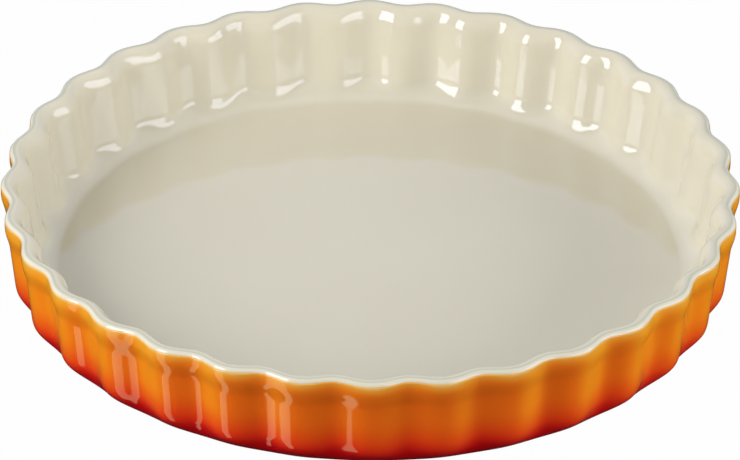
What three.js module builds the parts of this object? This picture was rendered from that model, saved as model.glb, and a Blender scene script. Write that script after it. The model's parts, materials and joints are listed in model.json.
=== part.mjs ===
import * as THREE from "three";

// Fluted tart dish: a pressed stoneware body and the glaze coats fired onto it.
// Millimetres, +Z up. The origin is on the table under the middle of the dish,
// and a flute crest faces -Y.

// Overall form
const RIM_RADIUS = 140; // mean radius of the rim's outer face
const HEIGHT = 42.3; // table to the top of the rim
const FLUTES = 32; // flutes round the wall

// Outside: rim band, shoulder, wall and foot corner
const BAND_DROP = 7; // from the top of the rim to the lower edge of its upright band
const NECK_DROP = 13; // from the top of the rim to the neck under the shoulder
const SHOULDER_STEP = 1.9; // how far the neck is set in under the band
const WALL_TAPER = 1.9; // how far the wall draws in from the neck to the foot corner
const CORNER_HEIGHT = 12; // height of the rounded foot corner
const CORNER_INSET = 9.4; // how far the foot corner draws in

// Rim
const RIM_WIDTH = 4.2; // from the rim's inner edge to its outer face
const EDGE_DROP = 0.5; // from the top of the rim to its inner edge
const EDGE_ROUNDING = 1.3; // from the rim's inner edge to its level top
const RIM_CROWN = 2.1; // height of the rounding from the level top to the outer face
const RIM_ROUNDING = 1.7; // width of that rounding
const BORDER_DROP = 1.3; // from the top of the rim to the border between the two colours

// Inside: a lean is the slope off upright, in degrees
const EDGE_LEAN = 58; // at the rim's inner edge
const EDGE_CURVE = 5.5; // radius of the curve under that edge
const FLARE_LEAN = 34; // where that curve meets the flare
const FLARE_CURVE = 14; // radius of the flare above the straight wall
const WALL_LEAN = 8.5; // on the straight wall
const INNER_FILLET = 9.5; // radius between the straight wall and the floor

// Flutes: a crest stands this far out of the mean radius
const RIM_FLUTE = 1.5;
const FLARE_FLUTE = 1.8;
const INNER_FLUTE = 1.5;
const WALL_FLUTE = 1.35;
const INNER_FADE = 5.5; // height over which the flutes rise out of the floor inside
const FOOT_FADE = 8.9; // height over which they rise out of the foot outside
const CREST_BROADENING = 0.055; // share of the second harmonic, which broadens crests and sharpens valleys

// Floor and foot
const FLOOR_THICKNESS = 4.6; // glazed floor, between the two coats' faces
const FOOT_RING_HEIGHT = 2; // the table to the glazed underside
const FOOT_RING_WIDTH = 7; // bare ring that the dish stands on
const BARE_FOOT = 1; // height of the bare clay above the table, below the outer coat

// Glaze coats
const GLAZE = 0.4; // thickness of a fired coat
const SEAT = 0.05; // seat clearance between a coat and the clay, and between two coats
const BASE_MARGIN = 1; // bare margin between the underside's coat and the foot ring

// Facets
const STEPS_PER_FLUTE = 5;
const CORNER_STEPS = 2;
const FILLET_STEPS = 2;
const RIM_STEPS = 2;
const BASE_SIDES = 96;

const around = FLUTES * STEPS_PER_FLUTE;
const bandHeight = HEIGHT - BAND_DROP;
const neckHeight = HEIGHT - NECK_DROP;
const floorTop = FOOT_RING_HEIGHT + FLOOR_THICKNESS;
const crownFoot = HEIGHT - RIM_CROWN;
const borderHeight = HEIGHT - BORDER_DROP;
const neckRadius = RIM_RADIUS - SHOULDER_STEP;
const taperSlope = WALL_TAPER / (neckHeight - CORNER_HEIGHT);
const footRadius = wallRadius(0) - CORNER_INSET;
const ringInner = footRadius - FOOT_RING_WIDTH;
const recessTop = FOOT_RING_HEIGHT + GLAZE + SEAT;
const [edgeLean, flareLean, wallLean] = [EDGE_LEAN, FLARE_LEAN, WALL_LEAN].map(THREE.MathUtils.degToRad);

// Eases from 0 to 1 with level ends.
function smooth(t) {
  const s = THREE.MathUtils.clamp(t, 0, 1);
  return s * s * (3 - 2 * s);
}

// Mean outer radius of the tapering wall, carried on in a straight line below it.
function wallRadius(z) {
  return neckRadius - taperSlope * (neckHeight - z);
}

// A row is one level of a section: mean radius, height, and how far a flute crest stands out there.
function row(r, z, flute) {
  return { r, z, flute };
}

// Rows along an arc, from its start to its end angle.
function arcRows(steps, start, end, rowAt) {
  return Array.from({ length: steps + 1 }, (_, i) => rowAt(start + (i / steps) * (end - start)));
}

// How far a curve runs out and up while its lean goes from one angle to another.
function curveRun(radius, from, to) {
  const run = new THREE.Vector2(Math.cos(from) - Math.cos(to), Math.sin(to) - Math.sin(from));
  return run.multiplyScalar(radius);
}

// The rim's rounding: a quarter ellipse from the outer face to the level top.
function crownRow(angle) {
  const r = RIM_RADIUS - RIM_ROUNDING * (1 - Math.cos(angle));
  return row(r, crownFoot + RIM_CROWN * Math.sin(angle), RIM_FLUTE);
}

// Angle on the rim's rounding at a height.
function crownAngle(z) {
  return Math.asin((z - crownFoot) / RIM_CROWN);
}

// Outside from the lower end of the coat up to the colour border on the rim.
function outsideRows() {
  const lowest = Math.asin(1 - BARE_FOOT / CORNER_HEIGHT);
  const corner = arcRows(CORNER_STEPS, lowest, 0, (angle) => {
    const z = CORNER_HEIGHT * (1 - Math.sin(angle));
    const r = wallRadius(z) - CORNER_INSET * (1 - Math.cos(angle));
    return row(r, z, WALL_FLUTE * smooth(z / FOOT_FADE));
  });
  return [
    ...corner,
    row(neckRadius, neckHeight, WALL_FLUTE),
    row(RIM_RADIUS, bandHeight, RIM_FLUTE),
    crownRow(0),
    crownRow(crownAngle(borderHeight)),
  ];
}

// Inside from the middle of the floor up the wall and over the rim to the colour border.
function insideRows() {
  const edge = new THREE.Vector2(RIM_RADIUS - RIM_WIDTH, HEIGHT - EDGE_DROP);
  const flareTop = edge.clone().sub(curveRun(EDGE_CURVE, flareLean, edgeLean));
  const wallTop = flareTop.clone().sub(curveRun(FLARE_CURVE, wallLean, flareLean));
  const filletTop = floorTop + INNER_FILLET * (1 - Math.sin(wallLean));
  const filletRadius = wallTop.x - Math.tan(wallLean) * (wallTop.y - filletTop);
  const floorRadius = filletRadius - INNER_FILLET * Math.cos(wallLean);
  const fillet = arcRows(FILLET_STEPS, Math.PI / 2, wallLean, (lean) => {
    const rise = INNER_FILLET * (1 - Math.sin(lean));
    const r = floorRadius + INNER_FILLET * Math.cos(lean);
    return row(r, floorTop + rise, INNER_FLUTE * smooth(rise / INNER_FADE));
  });
  return [
    row(0, floorTop, 0),
    ...fillet,
    row(wallTop.x, wallTop.y, INNER_FLUTE),
    row(flareTop.x, flareTop.y, FLARE_FLUTE),
    row(edge.x, edge.y, RIM_FLUTE),
    row(edge.x + EDGE_ROUNDING, HEIGHT, RIM_FLUTE),
    ...arcRows(RIM_STEPS, Math.PI / 2, crownAngle(borderHeight + SEAT), crownRow),
  ];
}

// Moves rows square to the section by a depth, to the left of the way they run. The open ends move
// level, so that two coats meet on a level joint, and a row on the axis moves upright.
function inset(rows, depth) {
  return rows.map((here, i) => {
    const before = rows[Math.max(i - 1, 0)];
    const after = rows[Math.min(i + 1, rows.length - 1)];
    const run = new THREE.Vector2(after.r - here.r, after.z - here.z).normalize();
    run.add(new THREE.Vector2(here.r - before.r, here.z - before.z).normalize()).normalize();
    if (here.r === 0) run.set(1, 0);
    else if (here === before || here === after) run.set(0, Math.sign(run.y));
    return row(here.r - depth * run.y, here.z + depth * run.x, here.flute);
  });
}

// Flute wave round the dish: a cosine with broadened crests.
function wave(angle) {
  const phase = FLUTES * (angle + Math.PI / 2);
  return Math.cos(phase) - CREST_BROADENING * Math.cos(2 * phase);
}

// Carries a section once round the axis with its flutes. Rows run anticlockwise, with the radius to
// the right and up the page, and either start and end on the axis or close on themselves. A facet is
// split along its shorter diagonal, so that a coat and the clay under it have the same facets, and a
// facet lies flat on each crest.
function flutedSolid(rows) {
  const points = [];
  const index = [];
  const rings = rows.map(({ r, z, flute }) => {
    const first = points.length;
    const count = r === 0 ? 1 : around;
    for (let j = 0; j < count; j += 1) {
      const angle = ((j + 0.5) / around) * 2 * Math.PI;
      const radius = r === 0 ? 0 : r + flute * wave(angle);
      points.push(new THREE.Vector3(radius * Math.cos(angle), radius * Math.sin(angle), z));
    }
    return (j) => first + (j % count);
  });
  const bands = rows[0].r === 0 ? rings.length - 1 : rings.length;
  for (let i = 0; i < bands; i += 1) {
    const lower = rings[i];
    const upper = rings[(i + 1) % rings.length];
    for (let j = 0; j < around; j += 1) {
      const [a, b, c, d] = [lower(j), lower(j + 1), upper(j + 1), upper(j)];
      const cut = points[a].distanceTo(points[c]) < points[b].distanceTo(points[d]);
      const halves = cut ? [[a, b, c], [a, c, d]] : [[a, b, d], [b, c, d]];
      index.push(...halves.filter((half) => new Set(half).size === 3).flat());
    }
  }
  const geometry = new THREE.BufferGeometry().setFromPoints(points);
  geometry.setIndex(index);
  geometry.computeVertexNormals();
  return geometry;
}

const finishes = {
  clay: new THREE.MeshStandardMaterial({ color: 0xd9c7a6, roughness: 0.85, metalness: 0 }),
  cream: new THREE.MeshStandardMaterial({ color: 0xe2ddcb, roughness: 0.12, metalness: 0 }),
  orange: new THREE.MeshStandardMaterial({ color: 0xd9731a, roughness: 0.14, metalness: 0 }),
  red: new THREE.MeshStandardMaterial({ color: 0x9c0f12, roughness: 0.16, metalness: 0 }),
};

const dish = new THREE.Group();

function addPiece(name, geometry, material) {
  const mesh = new THREE.Mesh(geometry, material);
  mesh.name = name;
  dish.add(mesh);
  return mesh;
}

const outside = outsideRows();
const inside = insideRows();
const backing = GLAZE + SEAT;

// Clay body: recess under the floor, foot ring, outside, rim, inside and floor.
const underside = [
  row(0, recessTop, 0),
  row(ringInner, recessTop, 0),
  row(ringInner, 0, 0),
  row(footRadius, 0, 0),
];
const clayOutside = inset(outside.slice(0, -1), backing);
const clayInside = inset(inside, -backing).reverse();
addPiece("stoneware_body", flutedSolid([...underside, ...clayOutside, ...clayInside]), finishes.clay);

// Cream coat inside, carried over the rim to the colour border.
addPiece("inner_glaze", flutedSolid([...inset(inside, -GLAZE), ...[...inside].reverse()]), finishes.cream);

// Orange coat outside, from the colour border down to the bare foot.
addPiece("outer_glaze", flutedSolid([...outside, ...inset(outside, GLAZE).reverse()]), finishes.orange);

// Coat on the underside, inside the foot ring.
const baseGeometry = new THREE.CylinderGeometry(
  ringInner - BASE_MARGIN,
  ringInner - BASE_MARGIN,
  GLAZE,
  BASE_SIDES,
);
const base = addPiece("base_glaze", baseGeometry, finishes.red);
base.rotation.x = Math.PI / 2;
base.position.z = FOOT_RING_HEIGHT + GLAZE / 2;

export default dish;
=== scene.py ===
"""Fluted stoneware tart dish: the fine glazed surfaces, their finishes, and a plain studio round them."""
import json
import math

import bpy
import numpy as np
from mathutils import Matrix, Vector


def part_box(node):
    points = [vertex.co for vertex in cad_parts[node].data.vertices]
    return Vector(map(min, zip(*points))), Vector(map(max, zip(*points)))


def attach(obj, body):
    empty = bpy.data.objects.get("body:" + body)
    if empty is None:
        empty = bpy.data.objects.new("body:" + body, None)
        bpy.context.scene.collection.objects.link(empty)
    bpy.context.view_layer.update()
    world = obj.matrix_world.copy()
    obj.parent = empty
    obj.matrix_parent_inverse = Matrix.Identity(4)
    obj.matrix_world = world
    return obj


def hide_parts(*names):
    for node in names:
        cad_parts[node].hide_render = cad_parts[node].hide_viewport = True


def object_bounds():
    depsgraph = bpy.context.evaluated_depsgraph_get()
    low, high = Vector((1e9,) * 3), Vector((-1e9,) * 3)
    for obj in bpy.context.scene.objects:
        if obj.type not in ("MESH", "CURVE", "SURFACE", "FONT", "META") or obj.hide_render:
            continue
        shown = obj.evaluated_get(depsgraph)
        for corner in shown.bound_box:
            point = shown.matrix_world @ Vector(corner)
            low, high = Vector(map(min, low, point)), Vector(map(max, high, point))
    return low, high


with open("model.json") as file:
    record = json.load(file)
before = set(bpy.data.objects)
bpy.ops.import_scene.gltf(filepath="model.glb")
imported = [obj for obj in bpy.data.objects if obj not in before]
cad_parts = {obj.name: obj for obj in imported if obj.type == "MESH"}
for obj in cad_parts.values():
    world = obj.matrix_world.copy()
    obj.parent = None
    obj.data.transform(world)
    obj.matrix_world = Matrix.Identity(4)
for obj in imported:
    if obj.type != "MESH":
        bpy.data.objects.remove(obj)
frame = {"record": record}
cad_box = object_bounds()

MM = 0.001
mounts = {mount["name"]: mount for mount in frame["record"]["mounts"]}

# Overall sizes in millimetres, heights above the table
HEIGHT = cad_box[1][2] / MM
FLOOR_TOP = mounts["inner_floor"]["pos_m"][2] / MM
BASE_COAT_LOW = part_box("base_glaze")[0][2] / MM
BASE_COAT_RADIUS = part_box("base_glaze")[1][0] / MM
RIM_RADIUS = 140.0  # mean radius of the rim's outer face
FLUTES = 32  # flutes round the wall

# Outside, with a softer shoulder than the solids have
BAND_DROP = 4.5  # from the top of the rim to the lower edge of its upright band
NECK_DROP = 13.0  # from the top of the rim to the neck under the shoulder
SHOULDER_STEP = 1.9  # how far the neck is set in under the band
WALL_TAPER = 1.9  # how far the wall draws in from the neck to the foot corner
CORNER_HEIGHT = 12.0  # height of the rounded foot corner
CORNER_INSET = 9.4  # how far the foot corner draws in

# Rim
RIM_WIDTH = 4.2  # from its inner edge to its outer face
RIM_CROWN = 2.1  # height of the rounding from its top to its outer face
CROWN_WIDTH = 1.7  # width of that rounding
CROWN_LINE = 0.45  # spread of the painted shade line on the rim's crown
BORDER_DROP = 1.3  # from its top to the border between the two colours
EDGE_DROP = 0.5  # from its top to its inner edge
EDGE_WIDTH = 1.3  # from its inner edge to its level top
EDGE_REACH = 0.45  # how far the rounding of that edge follows the flare
TOP_REACH = 0.5  # how far it follows the level top

# Inside, as leans off upright and the curves between them
EDGE_TILT = math.radians(58)  # at the rim's inner edge
EDGE_ROUNDING = 6.2  # radius of the curve under that edge
FLARE_TILT = math.radians(33)  # where that curve meets the flare
FLARE_ROUNDING = 12.0  # radius of the flare above the straight wall
INNER_TILT = math.radians(9.6)  # on the straight wall
INNER_FILLET = 9.9  # radius between the straight wall and the floor

# Flutes, as the height of a crest over the mean radius
RIM_FLUTE = 1.5
WALL_FLUTE = 1.66  # on the outer wall, 0.3 more than in the solids
INNER_WALL_FLUTE = 1.5
FLARE_FLUTE = 1.92
INNER_FADE = 5.8  # height over which they rise out of the floor inside
FOOT_FADE = 8.88  # height over which they rise out of the foot outside
RIM_EASE_DROP = 5.0  # from the top of the rim to where the flare's depth starts to ease into the rim's
RIM_EASE = 4.5  # height over which it does
CREST_BROADENING = 0.055  # share of the double wave, which broadens crests and sharpens valleys
INNER_BROADENING = -0.02  # the same on the inner wall, where it broadens valleys

# Foot ring and coats
FOOT_RING_WIDTH = 7.0  # bare ring that the dish stands on
FOOT_EASING = 0.6  # how far the ring's two edges are eased
COAT_END = 0.2  # where the outer coat ends above the table, lower than in the solids
GLAZE = 0.4  # thickness of a fired coat
SEAT = 0.05  # clearance between a coat and the clay, and between two coats

# Steps round a flute, and rows along each stretch of a section
STEPS_PER_FLUTE = 24
FLOOR_ROWS = 12
FILLET_ROWS = 24
WALL_ROWS = 14
FLARE_ROWS = 14
EDGE_ROWS = 7
CROWN_ROWS = 12
CORNER_ROWS = 26
OUTER_ROWS = 52
UNDERSIDE_ROWS = 3
COAT_BACK_STEP = 3  # the hidden back of a coat keeps every third row
CLAY_STEP = 2  # the clay behind a coat keeps every second row

neck_height = HEIGHT - NECK_DROP
band_height = HEIGHT - BAND_DROP
border_height = HEIGHT - BORDER_DROP
neck_radius = RIM_RADIUS - SHOULDER_STEP
crown_radius = RIM_RADIUS - CROWN_WIDTH
taper_slope = WALL_TAPER / (neck_height - CORNER_HEIGHT)


def linear(hex_colour):
    """Turns an sRGB hex colour into linear red, green, blue and alpha."""
    value = hex_colour.lstrip("#")
    srgb = np.array([int(value[i : i + 2], 16) for i in (0, 2, 4)]) / 255
    rgb = np.where(srgb <= 0.04045, srgb / 12.92, ((srgb + 0.055) / 1.055) ** 2.4)
    return (*rgb.tolist(), 1.0)


def smooth(t):
    """Eases from 0 to 1 with level ends: 3t squared less 2t cubed."""
    t = np.clip(t, 0, 1)
    return t * t * (3 - 2 * t)


def bezier(a, b, c, d, count):
    """Cubic curve from a to d that leaves towards b and arrives from c."""
    t = np.linspace(0, 1, count)[:, None]
    return (1 - t) ** 3 * a + 3 * (1 - t) ** 2 * t * b + 3 * (1 - t) * t**2 * c + t**3 * d


def arc(start, turn_from, turn_to, radius, count):
    """Rows up a hollow curve: the wall's lean off upright goes evenly from one angle to the other."""
    lean = np.linspace(turn_from, turn_to, count)
    r = start[0] + radius * (np.cos(turn_from) - np.cos(lean))
    z = start[1] + radius * (np.sin(lean) - np.sin(turn_from))
    return np.stack([r, z], 1)


def arc_up_to(end, turn_from, turn_to, radius, count):
    """The same rows, placed so that they arrive at a given end."""
    rise = arc((0, 0), turn_from, turn_to, radius, 2)[1]
    return arc(end - rise, turn_from, turn_to, radius, count)


def wall_radius(z):
    """Mean outer radius: a straight taper up to the neck, then a cubic step out to the upright band."""
    t = np.clip((z - neck_height) / (band_height - neck_height), 0, 1)
    step = taper_slope * (band_height - neck_height) * t * (1 - t) ** 2 + SHOULDER_STEP * smooth(t)
    return np.where(z < neck_height, neck_radius + taper_slope * (z - neck_height), neck_radius + step)


def rim_radius(z):
    """Outer radius of the rim's rounded top: a quarter ellipse above the band."""
    t = np.clip((z - (HEIGHT - RIM_CROWN)) / RIM_CROWN, 0, 1)
    return RIM_RADIUS - CROWN_WIDTH * (1 - np.sqrt(1 - t * t))


def flute_depth(z):
    """How far a crest outside stands out of the mean radius: the wall's depth, easing to the rim's."""
    return WALL_FLUTE + (RIM_FLUTE - WALL_FLUTE) * smooth((z - neck_height) / (band_height - neck_height))


def section(r, z, flute, broadening=CREST_BROADENING, crown_shade=0.0):
    """Rows of a section: mean radius, height, flute depth, depth of the double wave (a share of the flute's),
    and the share of painted shade on the rim's crown, from 0 to 1."""
    return np.stack(np.broadcast_arrays(r, z, flute, np.multiply(flute, broadening), crown_shade), 1).astype(float)


def inside_curve():
    """Mean radii and heights of the inside, from the axis to the colour border: flat floor, fillet arc,
    straight leaning wall, two flare arcs, a cubic rounding up to the rim's top, and its elliptic crown."""
    edge = np.array([RIM_RADIUS - RIM_WIDTH, HEIGHT - EDGE_DROP])
    upper = arc_up_to(edge, FLARE_TILT, EDGE_TILT, EDGE_ROUNDING, FLARE_ROWS)
    lower = arc_up_to(upper[0], INNER_TILT, FLARE_TILT, FLARE_ROUNDING, FLARE_ROWS)

    lean = np.linspace(np.pi / 2, INNER_TILT, FILLET_ROWS)
    fillet_top = FLOOR_TOP + INNER_FILLET * (1 - np.sin(INNER_TILT))
    wall_foot = lower[0, 0] - math.tan(INNER_TILT) * (lower[0, 1] - fillet_top)
    fillet_r = wall_foot - INNER_FILLET * (np.cos(INNER_TILT) - np.cos(lean))
    fillet = np.stack([fillet_r, FLOOR_TOP + INNER_FILLET * (1 - np.sin(lean))], 1)
    floor_r = np.linspace(0, fillet_r[0], FLOOR_ROWS)[:-1]
    floor = np.stack([floor_r, np.full_like(floor_r, FLOOR_TOP)], 1)
    z = np.linspace(fillet_top, lower[0, 1], WALL_ROWS)[1:-1]
    wall = np.stack([wall_foot + math.tan(INNER_TILT) * (z - fillet_top), z], 1)

    top = np.array([edge[0] + EDGE_WIDTH, HEIGHT])
    along_flare = EDGE_REACH * np.array([math.sin(EDGE_TILT), math.cos(EDGE_TILT)])
    along_top = np.array([TOP_REACH, 0])
    inner_edge = bezier(edge, edge + along_flare, top - along_top, top, EDGE_ROWS)[1:]
    z = np.linspace(HEIGHT, border_height + SEAT, CROWN_ROWS)
    crown = np.stack([rim_radius(z), z], 1)
    return np.concatenate([floor, fillet, wall, lower[:-1], upper, inner_edge, crown]).T


def inside_face():
    """The inside's section: its flutes rise out of the floor, deepen on the flare and ease into the rim's.
    A painted shade line lies at the crown's radius as a bell curve."""
    r, z = inside_curve()
    to_rim = smooth((z - HEIGHT + RIM_EASE_DROP) / RIM_EASE)
    depth = INNER_WALL_FLUTE * smooth((z - FLOOR_TOP) / INNER_FADE)
    depth += (FLARE_FLUTE - INNER_WALL_FLUTE) * smooth((z - neck_height) / (NECK_DROP - RIM_EASE_DROP))
    depth += (RIM_FLUTE - FLARE_FLUTE) * to_rim
    broadening = INNER_BROADENING + (CREST_BROADENING - INNER_BROADENING) * to_rim
    # Painted shade: where the grey line on the rim's crown lies, as a bell curve.
    crown_shade = np.exp(-(((r - crown_radius) / CROWN_LINE) ** 2))
    return section(r, z, depth, broadening, crown_shade)


def outside_face():
    """Round foot corner as a sheared quarter ellipse, then wall, shoulder and band up to the border."""
    turn = np.linspace(math.asin(1 - COAT_END / CORNER_HEIGHT), 0, CORNER_ROWS)
    z = CORNER_HEIGHT * (1 - np.sin(turn))
    corner = np.stack([wall_radius(z) - CORNER_INSET * (1 - np.cos(turn)), z])
    z = np.linspace(CORNER_HEIGHT, border_height, OUTER_ROWS)[1:]
    upper = np.stack([np.minimum(wall_radius(z), rim_radius(z)), z])
    r, z = np.concatenate([corner, upper], 1)
    return section(r, z, flute_depth(z) * smooth(z / FOOT_FADE))


def inset(rows, depth):
    """Moves rows square to the section by a depth, to the left of the way they run."""
    run = np.gradient(rows[:, :2], axis=0)
    run[rows[:, 0] == 0] = (1, 0)
    run /= np.linalg.norm(run, axis=1, keepdims=True)
    moved = rows.copy()
    moved[:, 0] -= depth * run[:, 1]
    moved[:, 1] += depth * run[:, 0]
    return moved


def back_of(rows, depth):
    """The hidden side of a coat: the inset face with fewer rows, its two ends kept."""
    keep = sorted({0, len(rows) - 1, *range(0, len(rows), COAT_BACK_STEP)})
    return inset(rows, depth)[keep]


def underside_rows():
    """The flat coat inside the foot ring: out along its lower face and back along its upper one."""
    out = np.linspace(0, BASE_COAT_RADIUS, UNDERSIDE_ROWS)
    z = np.repeat([BASE_COAT_LOW, BASE_COAT_LOW + GLAZE], UNDERSIDE_ROWS)
    return section(np.concatenate([out, out[::-1]]), z, 0)


def clay_rows(inside, outside):
    """Clay between the coats: recess, foot ring, outside, rim and inside, each face inset behind its coat."""
    backing = GLAZE + SEAT
    ring_outer = float(wall_radius(np.array(0.0))) - CORNER_INSET
    ring_inner = ring_outer - FOOT_RING_WIDTH
    recess = BASE_COAT_LOW + backing
    under_r = [0, ring_inner, ring_inner + FOOT_EASING, ring_outer - FOOT_EASING]
    under = section(under_r, [recess, recess, 0, 0], 0)
    outer = inset(outside, backing)[:-1:CLAY_STEP]
    inner = inset(inside, -backing)
    return np.concatenate([under, outer, inner[:0:-CLAY_STEP], inner[:1]])


def fluted_piece(name, rows):
    """Carries a section round the axis: radius = mean + depth x cos - double depth x cos of the double
    angle. Rows run anticlockwise in the section; a row on the axis becomes one pole."""
    around = FLUTES * STEPS_PER_FLUTE
    angle = np.arange(around) / around * 2 * np.pi
    phase = FLUTES * (angle + np.pi / 2)
    rings = rows[rows[:, 0] > 0]
    radius = rings[:, :1] + rings[:, 2:3] * np.cos(phase) - rings[:, 3:4] * np.cos(2 * phase)
    z = np.broadcast_to(rings[:, 1:2], radius.shape)
    points = np.stack([radius * np.cos(angle), radius * np.sin(angle), z], -1).reshape(-1, 3)
    crest = np.broadcast_to(np.cos(phase), radius.shape).reshape(-1)
    crown_shade = np.broadcast_to(rings[:, 4:], radius.shape).reshape(-1)
    grid = np.arange(len(rings) * around).reshape(len(rings), around)
    on_axis = rows[0, 0] == 0
    if not on_axis:
        grid = np.concatenate([grid, grid[:1]])
    turned = np.roll(grid, -1, axis=1)
    quads = np.stack([grid[:-1], turned[:-1], turned[1:], grid[1:]], -1).reshape(-1, 4)
    faces = quads.tolist()
    if on_axis:
        poles = np.array([[0, 0, rows[0, 1]], [0, 0, rows[-1, 1]]])
        first = len(points)
        points = np.concatenate([points, poles])
        crest = np.concatenate([crest, [0, 0]])
        crown_shade = np.concatenate([crown_shade, [0, 0]])
        low = np.stack([np.full(around, first), turned[0], grid[0]], -1)
        high = np.stack([grid[-1], turned[-1], np.full(around, first + 1)], -1)
        faces += low.tolist() + high.tolist()
    mesh = bpy.data.meshes.new(name)
    mesh.from_pydata((points * MM).tolist(), [], faces)
    mesh.attributes.new("crest", "FLOAT", "POINT").data.foreach_set("value", crest)
    mesh.attributes.new("crown_shade", "FLOAT", "POINT").data.foreach_set("value", crown_shade)
    mesh.polygons.foreach_set("use_smooth", np.ones(len(mesh.polygons), bool))
    mesh.update()
    piece = bpy.data.objects.new(name, mesh)
    bpy.context.scene.collection.objects.link(piece)
    return piece


def place_piece(piece, material, node):
    """Gives a piece its finish, hides the imported part of the node it replaces, and hangs it under the root
    body.
    """
    piece.data.materials.append(material)
    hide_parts(node)
    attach(piece, "root")


def add(tree, kind, inputs=None, **settings):
    """Adds a node with its settings; an input is a value, or another node's output to link."""
    made = tree.nodes.new(kind)
    for name, value in settings.items():
        setattr(made, name, value)
    for name, value in (inputs or {}).items():
        if isinstance(value, bpy.types.NodeSocket):
            tree.links.new(value, made.inputs[name])
        else:
            made.inputs[name].default_value = value
    return made


def new_material(name):
    """A material with an empty node tree."""
    material = bpy.data.materials.new(name)
    material.use_nodes = True
    material.node_tree.nodes.clear()
    return material


def cycles_per_metre(size_mm):
    """Noise scale for a pattern whose features are this many millimetres across."""
    return 1 / (size_mm * MM)


def cream_glaze():
    """Opaque tin-white stoneware glaze, applied by pouring and fired: glossy, faintly wavy and a little
    uneven in tone.
    Painted light makes it lighter on the wall than on the floor, and painted shade makes a fine grey line on
    the rim's crown."""
    painted_wall_light_gain = (1.035, 1.03, 1.02, 1.0)  # painted light: how much lighter the coat is made on the wall
    material = new_material("cream_stoneware_glaze")
    tree = material.node_tree
    place = add(tree, "ShaderNodeTexCoord").outputs["Object"]
    cloud = add(tree, "ShaderNodeTexNoise", {"Vector": place, "Scale": cycles_per_metre(60), "Detail": 3})
    tone = add(
        tree,
        "ShaderNodeMix",
        {"Factor": cloud.outputs["Fac"], "A": linear("#D9D4C3"), "B": linear("#D3CDBB")},
        data_type="RGBA",
    )
    height = add(tree, "ShaderNodeSeparateXYZ", {"Vector": place}).outputs["Z"]
    up_the_wall = add(
        tree,
        "ShaderNodeMapRange",
        {"Value": height, "From Min": FLOOR_TOP * MM, "From Max": (FLOOR_TOP + INNER_FILLET) * MM},
        interpolation_type="SMOOTHSTEP",
    )
    # Painted light: the wall made lighter than the floor, rising over the fillet.
    wall_lit_tone = add(
        tree,
        "ShaderNodeMix",
        {"Factor": up_the_wall.outputs["Result"], "A": tone.outputs["Result"], "B": painted_wall_light_gain},
        data_type="RGBA",
        blend_type="MULTIPLY",
    )
    crown_shade = add(tree, "ShaderNodeAttribute", attribute_name="crown_shade").outputs["Fac"]
    # Painted shade: a grey line on the rim's crown, standing in for the shade and dark reflections there.
    lined = add(
        tree,
        "ShaderNodeMix",
        {"Factor": crown_shade, "A": wall_lit_tone.outputs["Result"], "B": linear("#BBBEAD")},
        data_type="RGBA",
    )
    ripple = add(tree, "ShaderNodeTexNoise", {"Vector": place, "Scale": cycles_per_metre(14), "Detail": 1})
    bump = add(
        tree,
        "ShaderNodeBump",
        {"Height": ripple.outputs["Fac"], "Strength": 0.25, "Distance": 0.01 * MM},
    )
    shader = add(
        tree,
        "ShaderNodeBsdfPrincipled",
        {
            "Base Color": lined.outputs["Result"],
            "Roughness": 0.015,
            "IOR": 1.62,
            "Normal": bump.outputs["Normal"],
        },
    )
    add(tree, "ShaderNodeOutputMaterial", {"Surface": shader.outputs["BSDF"]})
    return material


def level_facing(tree, normal):
    """The way the outside faces, level with the table: X to the right and Y to the back."""
    outward = add(tree, "ShaderNodeVectorMath", {0: normal, 1: (1, 1, 0)}, operation="MULTIPLY")
    heading = add(tree, "ShaderNodeVectorMath", {0: outward.outputs[0]}, operation="NORMALIZE")
    return add(tree, "ShaderNodeSeparateXYZ", {"Vector": heading.outputs[0]})


def spray_level(tree, place, facing):
    """Level that the spray's colours follow, from 0 at the table to 1 at the border: the height, moved a
    little by noise, moved up on the crests, where the red lies lower, and moved up on the right as painted
    light."""
    drift_height = 2.5 * MM  # how far the noise moves the colours up and down
    crest_drop = 0.5 * MM  # how much lower the red lies on a crest than at the mean radius
    right_lit_drop = 0.085  # painted light: how much lower the red lies on the lit right side, as a share of the height left to the border
    height = add(tree, "ShaderNodeSeparateXYZ", {"Vector": place}).outputs["Z"]
    cloud = add(tree, "ShaderNodeTexNoise", {"Vector": place, "Scale": cycles_per_metre(18), "Detail": 4})
    drift = add(tree, "ShaderNodeMath", {0: cloud.outputs["Fac"], 1: -0.5})
    wander = add(tree, "ShaderNodeMath", {0: drift.outputs[0], 1: drift_height}, operation="MULTIPLY")
    crest = add(tree, "ShaderNodeAttribute", attribute_name="crest").outputs["Fac"]
    crest_and_drift = add(
        tree,
        "ShaderNodeMath",
        {0: crest, 1: crest_drop, 2: wander.outputs[0]},
        operation="MULTIPLY_ADD",
    )
    raised = add(tree, "ShaderNodeMath", {0: height, 1: crest_and_drift.outputs[0]})
    even = add(tree, "ShaderNodeMath", {0: raised.outputs[0], 1: border_height * MM}, operation="DIVIDE")
    # Painted light: the red kept lower where the outside faces the right lamps.
    lower = add(
        tree,
        "ShaderNodeMapRange",
        {"Value": facing.outputs["X"], "From Min": 0.0, "From Max": 0.8, "To Min": 0.0, "To Max": right_lit_drop},
    )
    room = add(tree, "ShaderNodeMath", {0: 1.0, 1: even.outputs[0]}, operation="SUBTRACT")
    level = add(
        tree,
        "ShaderNodeMath",
        {0: room.outputs[0], 1: lower.outputs["Result"], 2: even.outputs[0]},
        operation="MULTIPLY_ADD",
    )
    return level.outputs[0]


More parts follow.
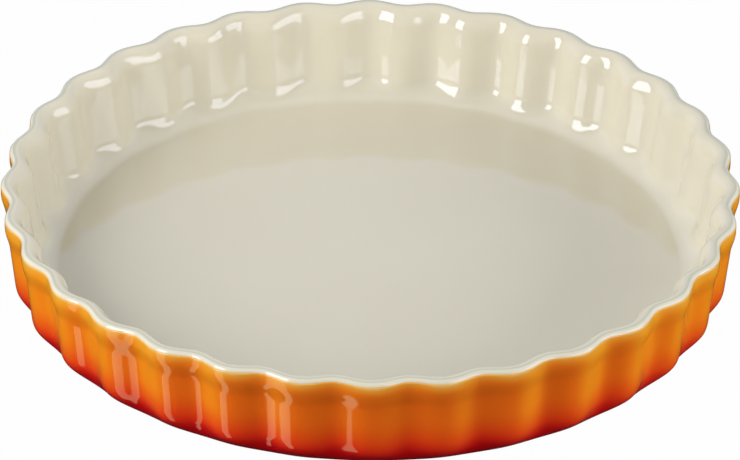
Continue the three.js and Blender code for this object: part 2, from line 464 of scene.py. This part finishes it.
def front_back_shade_share(tree, facing, level):
    """How much painted shade darkens and reddens the glaze, from 0 to 1: most where the dish faces front and
    back, away from the side lamps, by the square of the facing, and fading out under the border."""
    ahead = add(
        tree,
        "ShaderNodeMath",
        {0: facing.outputs["Y"], 1: facing.outputs["Y"]},
        operation="MULTIPLY",
    )
    front_back_facing = add(
        tree,
        "ShaderNodeMapRange",
        {"Value": ahead.outputs[0], "From Min": 0.25, "From Max": 1.0},
        interpolation_type="SMOOTHSTEP",
    )
    fading = add(
        tree,
        "ShaderNodeMapRange",
        {"Value": level, "From Min": 0.90, "From Max": 1.0, "To Min": 1.0, "To Max": 0.1},
        interpolation_type="SMOOTHSTEP",
    )
    share = add(
        tree,
        "ShaderNodeMath",
        {0: front_back_facing.outputs["Result"], 1: fading.outputs["Result"]},
        operation="MULTIPLY",
    )
    return share.outputs[0]


def graded_glaze():
    """Orange glaze with red sprayed from below: glossy, yellow where it thins out under the rim, dark red
    where it pools at the foot. The red lies higher in the valleys. Painted shade makes it darker and redder
    where the dish faces front and back, and painted light keeps the red lower where it faces right."""
    front_back_shade_tint = (0.96, 0.53, 0.75, 1.0)  # painted shade: what is kept of the colour where the dish faces front and back
    stops = (  # heights in millimetres above the table, and the colours there
        (0.0, "#9C000C"),
        (6.0, "#BA0510"),
        (9.0, "#D92A17"),
        (12.5, "#E65118"),
        (17.0, "#EB7318"),
        (23.0, "#EF9019"),
        (30.0, "#EB8A19"),
        (36.0, "#E8931B"),
        (40.0, "#E8A127"),
        (border_height, "#E6BC70"),
    )
    material = new_material("orange_to_red_stoneware_glaze")
    tree = material.node_tree
    coordinates = add(tree, "ShaderNodeTexCoord")
    place = coordinates.outputs["Object"]
    facing = level_facing(tree, coordinates.outputs["Normal"])
    level = spray_level(tree, place, facing)
    ramp = add(tree, "ShaderNodeValToRGB", {"Fac": level})
    ramp.color_ramp.interpolation = "B_SPLINE"
    elements = ramp.color_ramp.elements
    for height, _ in stops[1:-1]:
        elements.new(height / border_height)
    for element, (height, colour) in zip(elements, stops):
        element.position = height / border_height
        element.color = linear(colour)
    # Painted shade: the ramp's colour darkened and reddened where the dish faces front and back.
    glaze = add(
        tree,
        "ShaderNodeMix",
        {"Factor": front_back_shade_share(tree, facing, level), "A": ramp.outputs["Color"], "B": front_back_shade_tint},
        data_type="RGBA",
        blend_type="MULTIPLY",
    )
    ripple = add(tree, "ShaderNodeTexNoise", {"Vector": place, "Scale": cycles_per_metre(12), "Detail": 2})
    bump = add(
        tree,
        "ShaderNodeBump",
        {"Height": ripple.outputs["Fac"], "Strength": 0.25, "Distance": 0.02 * MM},
    )
    shader = add(
        tree,
        "ShaderNodeBsdfPrincipled",
        {
            "Base Color": glaze.outputs["Result"],
            "Roughness": 0.06,
            "IOR": 1.52,
            "Normal": bump.outputs["Normal"],
        },
    )
    add(tree, "ShaderNodeOutputMaterial", {"Surface": shader.outputs["BSDF"]})
    return material


def red_glaze():
    """Deep red glaze on the underside, slightly duller than the outside where it faced the kiln shelf."""
    material = new_material("deep_red_stoneware_glaze")
    tree = material.node_tree
    place = add(tree, "ShaderNodeTexCoord").outputs["Object"]
    cloud = add(tree, "ShaderNodeTexNoise", {"Vector": place, "Scale": cycles_per_metre(30), "Detail": 4})
    tone = add(
        tree,
        "ShaderNodeMix",
        {"Factor": cloud.outputs["Fac"], "A": linear("#7C0A10"), "B": linear("#8F1213")},
        data_type="RGBA",
    )
    shader = add(
        tree,
        "ShaderNodeBsdfPrincipled",
        {"Base Color": tone.outputs["Result"], "Roughness": 0.18, "IOR": 1.52},
    )
    add(tree, "ShaderNodeOutputMaterial", {"Surface": shader.outputs["BSDF"]})
    return material


def bare_clay():
    """Bare fired stoneware: matt, warm buff, with fine grit that shows as specks."""
    material = new_material("bare_stoneware_clay")
    tree = material.node_tree
    place = add(tree, "ShaderNodeTexCoord").outputs["Object"]
    grit = add(tree, "ShaderNodeTexNoise", {"Vector": place, "Scale": cycles_per_metre(0.8), "Detail": 3})
    tone = add(
        tree,
        "ShaderNodeMix",
        {"Factor": grit.outputs["Fac"], "A": linear("#CDB996"), "B": linear("#E0CFAF")},
        data_type="RGBA",
    )
    bump = add(
        tree,
        "ShaderNodeBump",
        {"Height": grit.outputs["Fac"], "Strength": 0.5, "Distance": 0.1 * MM},
    )
    shader = add(
        tree,
        "ShaderNodeBsdfPrincipled",
        {"Base Color": tone.outputs["Result"], "Roughness": 0.85, "Normal": bump.outputs["Normal"]},
    )
    add(tree, "ShaderNodeOutputMaterial", {"Surface": shader.outputs["BSDF"]})
    return material


def photo_camera():
    """Long lens about 2.9 m from the rim's middle and 31.5 degrees above it, half a degree off the front
    crest and rolled a little."""
    distance = 2.908  # metres
    look = 0.5493  # this and the next three in radians
    extra_pitch = 0.0061
    roll = 0.0099
    aside = -0.0081
    focal_pixels = 7604.0
    image_width = 740.0  # pixels
    sensor = 36.0  # millimetres
    lens = bpy.data.cameras.new("photo_lens")
    lens.sensor_width = sensor
    lens.lens = focal_pixels / image_width * sensor
    lens.clip_end = 50
    camera = bpy.data.objects.new("photo_camera", lens)
    spot = Vector((0, -distance * math.cos(look), HEIGHT * MM + distance * math.sin(look)))
    tilt = Matrix.Rotation(math.pi / 2 - look - extra_pitch, 4, "X")
    turn = Matrix.Rotation(aside, 4, "Z")
    camera.matrix_world = turn @ Matrix.Translation(spot) @ tilt @ Matrix.Rotation(roll, 4, "Z")
    bpy.context.scene.collection.objects.link(camera)
    bpy.context.scene.camera = camera


def studio_table():
    """White table, 6 m across: the camera sees it as white with the dish's soft shadow on it."""
    half = 3.0  # metres
    seen_white = 0.985  # how much of what the camera sees is plain white; the rest takes the shadow
    corners = [(-half, -half, 0), (half, -half, 0), (half, half, 0), (-half, half, 0)]
    mesh = bpy.data.meshes.new("table")
    mesh.from_pydata(corners, [], [(0, 1, 2, 3)])
    table = bpy.data.objects.new("table", mesh)
    table.visible_glossy = False
    bpy.context.scene.collection.objects.link(table)
    material = new_material("white_laminate_table")
    tree = material.node_tree
    ray = add(tree, "ShaderNodeLightPath")
    laminate = add(tree, "ShaderNodeBsdfPrincipled", {"Base Color": linear("#8E8E8C"), "Roughness": 0.5})
    white = add(tree, "ShaderNodeEmission", {"Color": (1, 1, 1, 1), "Strength": 1.0})
    share = add(
        tree,
        "ShaderNodeMath",
        {0: ray.outputs["Is Camera Ray"], 1: seen_white},
        operation="MULTIPLY",
    )
    mix = add(
        tree,
        "ShaderNodeMixShader",
        {0: share.outputs[0], 1: laminate.outputs["BSDF"], 2: white.outputs["Emission"]},
    )
    add(tree, "ShaderNodeOutputMaterial", {"Surface": mix.outputs["Shader"]})
    mesh.materials.append(material)


def studio_world():
    """White surround. The camera sees plain white. Mirror images show it a little cool, bright behind the
    dish and dark on the camera's side and below the table's level. Matt surfaces get a warm fill from it."""
    fill_strength = 0.30
    camera_side = 0.15
    below_table = 0.015
    warm_fill = (1.0, 0.94, 0.80, 1)
    cool_mirror = (0.90, 1.02, 1.20, 1)
    world = bpy.data.worlds.new("white_surround")
    world.use_nodes = True
    tree = world.node_tree
    tree.nodes.clear()
    ray = add(tree, "ShaderNodeLightPath")
    way = add(
        tree,
        "ShaderNodeSeparateXYZ",
        {"Vector": add(tree, "ShaderNodeTexCoord").outputs["Generated"]},
    )
    behind = add(
        tree,
        "ShaderNodeMapRange",
        {"Value": way.outputs["Y"], "From Min": -0.3, "From Max": 0.3, "To Min": camera_side, "To Max": 1.0},
        interpolation_type="SMOOTHSTEP",
    )
    above = add(
        tree,
        "ShaderNodeMapRange",
        {
            "Value": way.outputs["Z"],
            "From Min": -0.1,
            "From Max": 0.1,
            "To Min": below_table,
            "To Max": behind.outputs["Result"],
        },
        interpolation_type="SMOOTHSTEP",
    )
    mirrored = add(
        tree,
        "ShaderNodeMath",
        {0: ray.outputs["Is Glossy Ray"], 1: ray.outputs["Is Transmission Ray"]},
        operation="MAXIMUM",
    )
    unseen = add(
        tree,
        "ShaderNodeMix",
        {"Factor": mirrored.outputs[0], "A": fill_strength, "B": above.outputs["Result"]},
    )
    strength = add(
        tree,
        "ShaderNodeMath",
        {0: unseen.outputs["Result"], 1: ray.outputs["Is Camera Ray"]},
        operation="MAXIMUM",
    )
    warmed = add(
        tree,
        "ShaderNodeMix",
        {"Factor": ray.outputs["Is Diffuse Ray"], "A": (1, 1, 1, 1), "B": warm_fill},
        data_type="RGBA",
    )
    cooled = add(
        tree,
        "ShaderNodeMix",
        {"Factor": mirrored.outputs[0], "A": warmed.outputs["Result"], "B": cool_mirror},
        data_type="RGBA",
    )
    light = add(
        tree,
        "ShaderNodeBackground",
        {"Color": cooled.outputs["Result"], "Strength": strength.outputs[0]},
    )
    add(tree, "ShaderNodeOutputWorld", {"Surface": light.outputs["Background"]})
    bpy.context.scene.world = world


def direction(azimuth, elevation):
    """Unit vector; azimuth in degrees from +Y towards +X, elevation above the table."""
    a, e = math.radians(azimuth), math.radians(elevation)
    return Vector((math.sin(a) * math.cos(e), math.cos(a) * math.cos(e), math.sin(e)))


def area_lamp(name, place, back, width, height, energy):
    """A rectangular lamp at a place with its back to a direction, sizes in metres."""
    lamp = bpy.data.lights.new(name, "AREA")
    lamp.shape = "RECTANGLE"
    lamp.size = width
    lamp.size_y = height
    lamp.energy = energy
    holder = bpy.data.objects.new(name, lamp)
    holder.location = place
    holder.rotation_euler = back.to_track_quat("Z", "Y").to_euler()
    bpy.context.scene.collection.objects.link(holder)
    return holder


def softbox(name, azimuth, elevation, width, height, light, distance=1.5):
    """A lamp that faces the dish and has no mirror image, sizes in metres. Light is what a matt white card
    facing it would show."""
    towards = direction(azimuth, elevation)
    energy = light * math.pi**2 * distance**2
    holder = area_lamp(name, towards * distance, towards, width, height, energy)
    holder.visible_glossy = False


def window(name, azimuth, half_width, low, high, gleam, tint, distance=1.4):
    """An upright lamp that only mirrors show. It spans half_width degrees to either side of its azimuth and
    from low to high in degrees above the table; gleam is how bright it is."""
    width = 2 * distance * math.tan(math.radians(half_width))
    bottom = distance * math.tan(math.radians(low))
    top = distance * math.tan(math.radians(high))
    towards = direction(azimuth, 0)
    place = towards * distance + Vector((0, 0, (top + bottom) / 2))
    energy = gleam * math.pi * width * (top - bottom)
    holder = area_lamp(name, place, towards, width, top - bottom, energy)
    holder.data.color = tint
    holder.visible_diffuse = False


# The dish: three coats of glaze and the clay between them
inside = inside_face()
outside = outside_face()
lining = fluted_piece("cream_lining", np.concatenate([back_of(inside, -GLAZE), inside[::-1]]))
coat = fluted_piece("graded_coat", np.concatenate([outside, back_of(outside, GLAZE)[::-1]]))
base = fluted_piece("underside_coat", underside_rows())
clay = fluted_piece("clay_body", clay_rows(inside, outside))
place_piece(lining, cream_glaze(), "inner_glaze")
place_piece(coat, graded_glaze(), "outer_glaze")
place_piece(base, red_glaze(), "base_glaze")
place_piece(clay, bare_clay(), "stoneware_body")

# The studio: table, surround, two soft keys, two low bounce cards, and windows that only the glaze mirrors
COOL_WHITE = (0.80, 0.86, 1.0)
GREENISH_WHITE = (0.82, 1.0, 0.62)
photo_camera()
studio_table()
studio_world()
softbox("left_key", azimuth=-119, elevation=33, width=1.1, height=1.0, light=0.99)
softbox("right_key", azimuth=106, elevation=20, width=1.2, height=0.5, light=0.61)
softbox("right_bounce", azimuth=95, elevation=2, width=1.2, height=0.08, light=0.20)
softbox("left_bounce", azimuth=-95, elevation=2, width=1.2, height=0.08, light=0.06)
window("left_window", azimuth=-123.4, half_width=12.6, low=2, high=44, gleam=7.0, tint=COOL_WHITE)
window("right_window", azimuth=119.3, half_width=29.5, low=4, high=33, gleam=4.2, tint=COOL_WHITE)
window(
    "left_window_in_table",
    azimuth=-120,
    half_width=12,
    low=-61,
    high=-10,
    gleam=1.6,
    tint=GREENISH_WHITE,
    distance=1.5,
)

bpy.context.scene.view_settings.view_transform = "Standard"
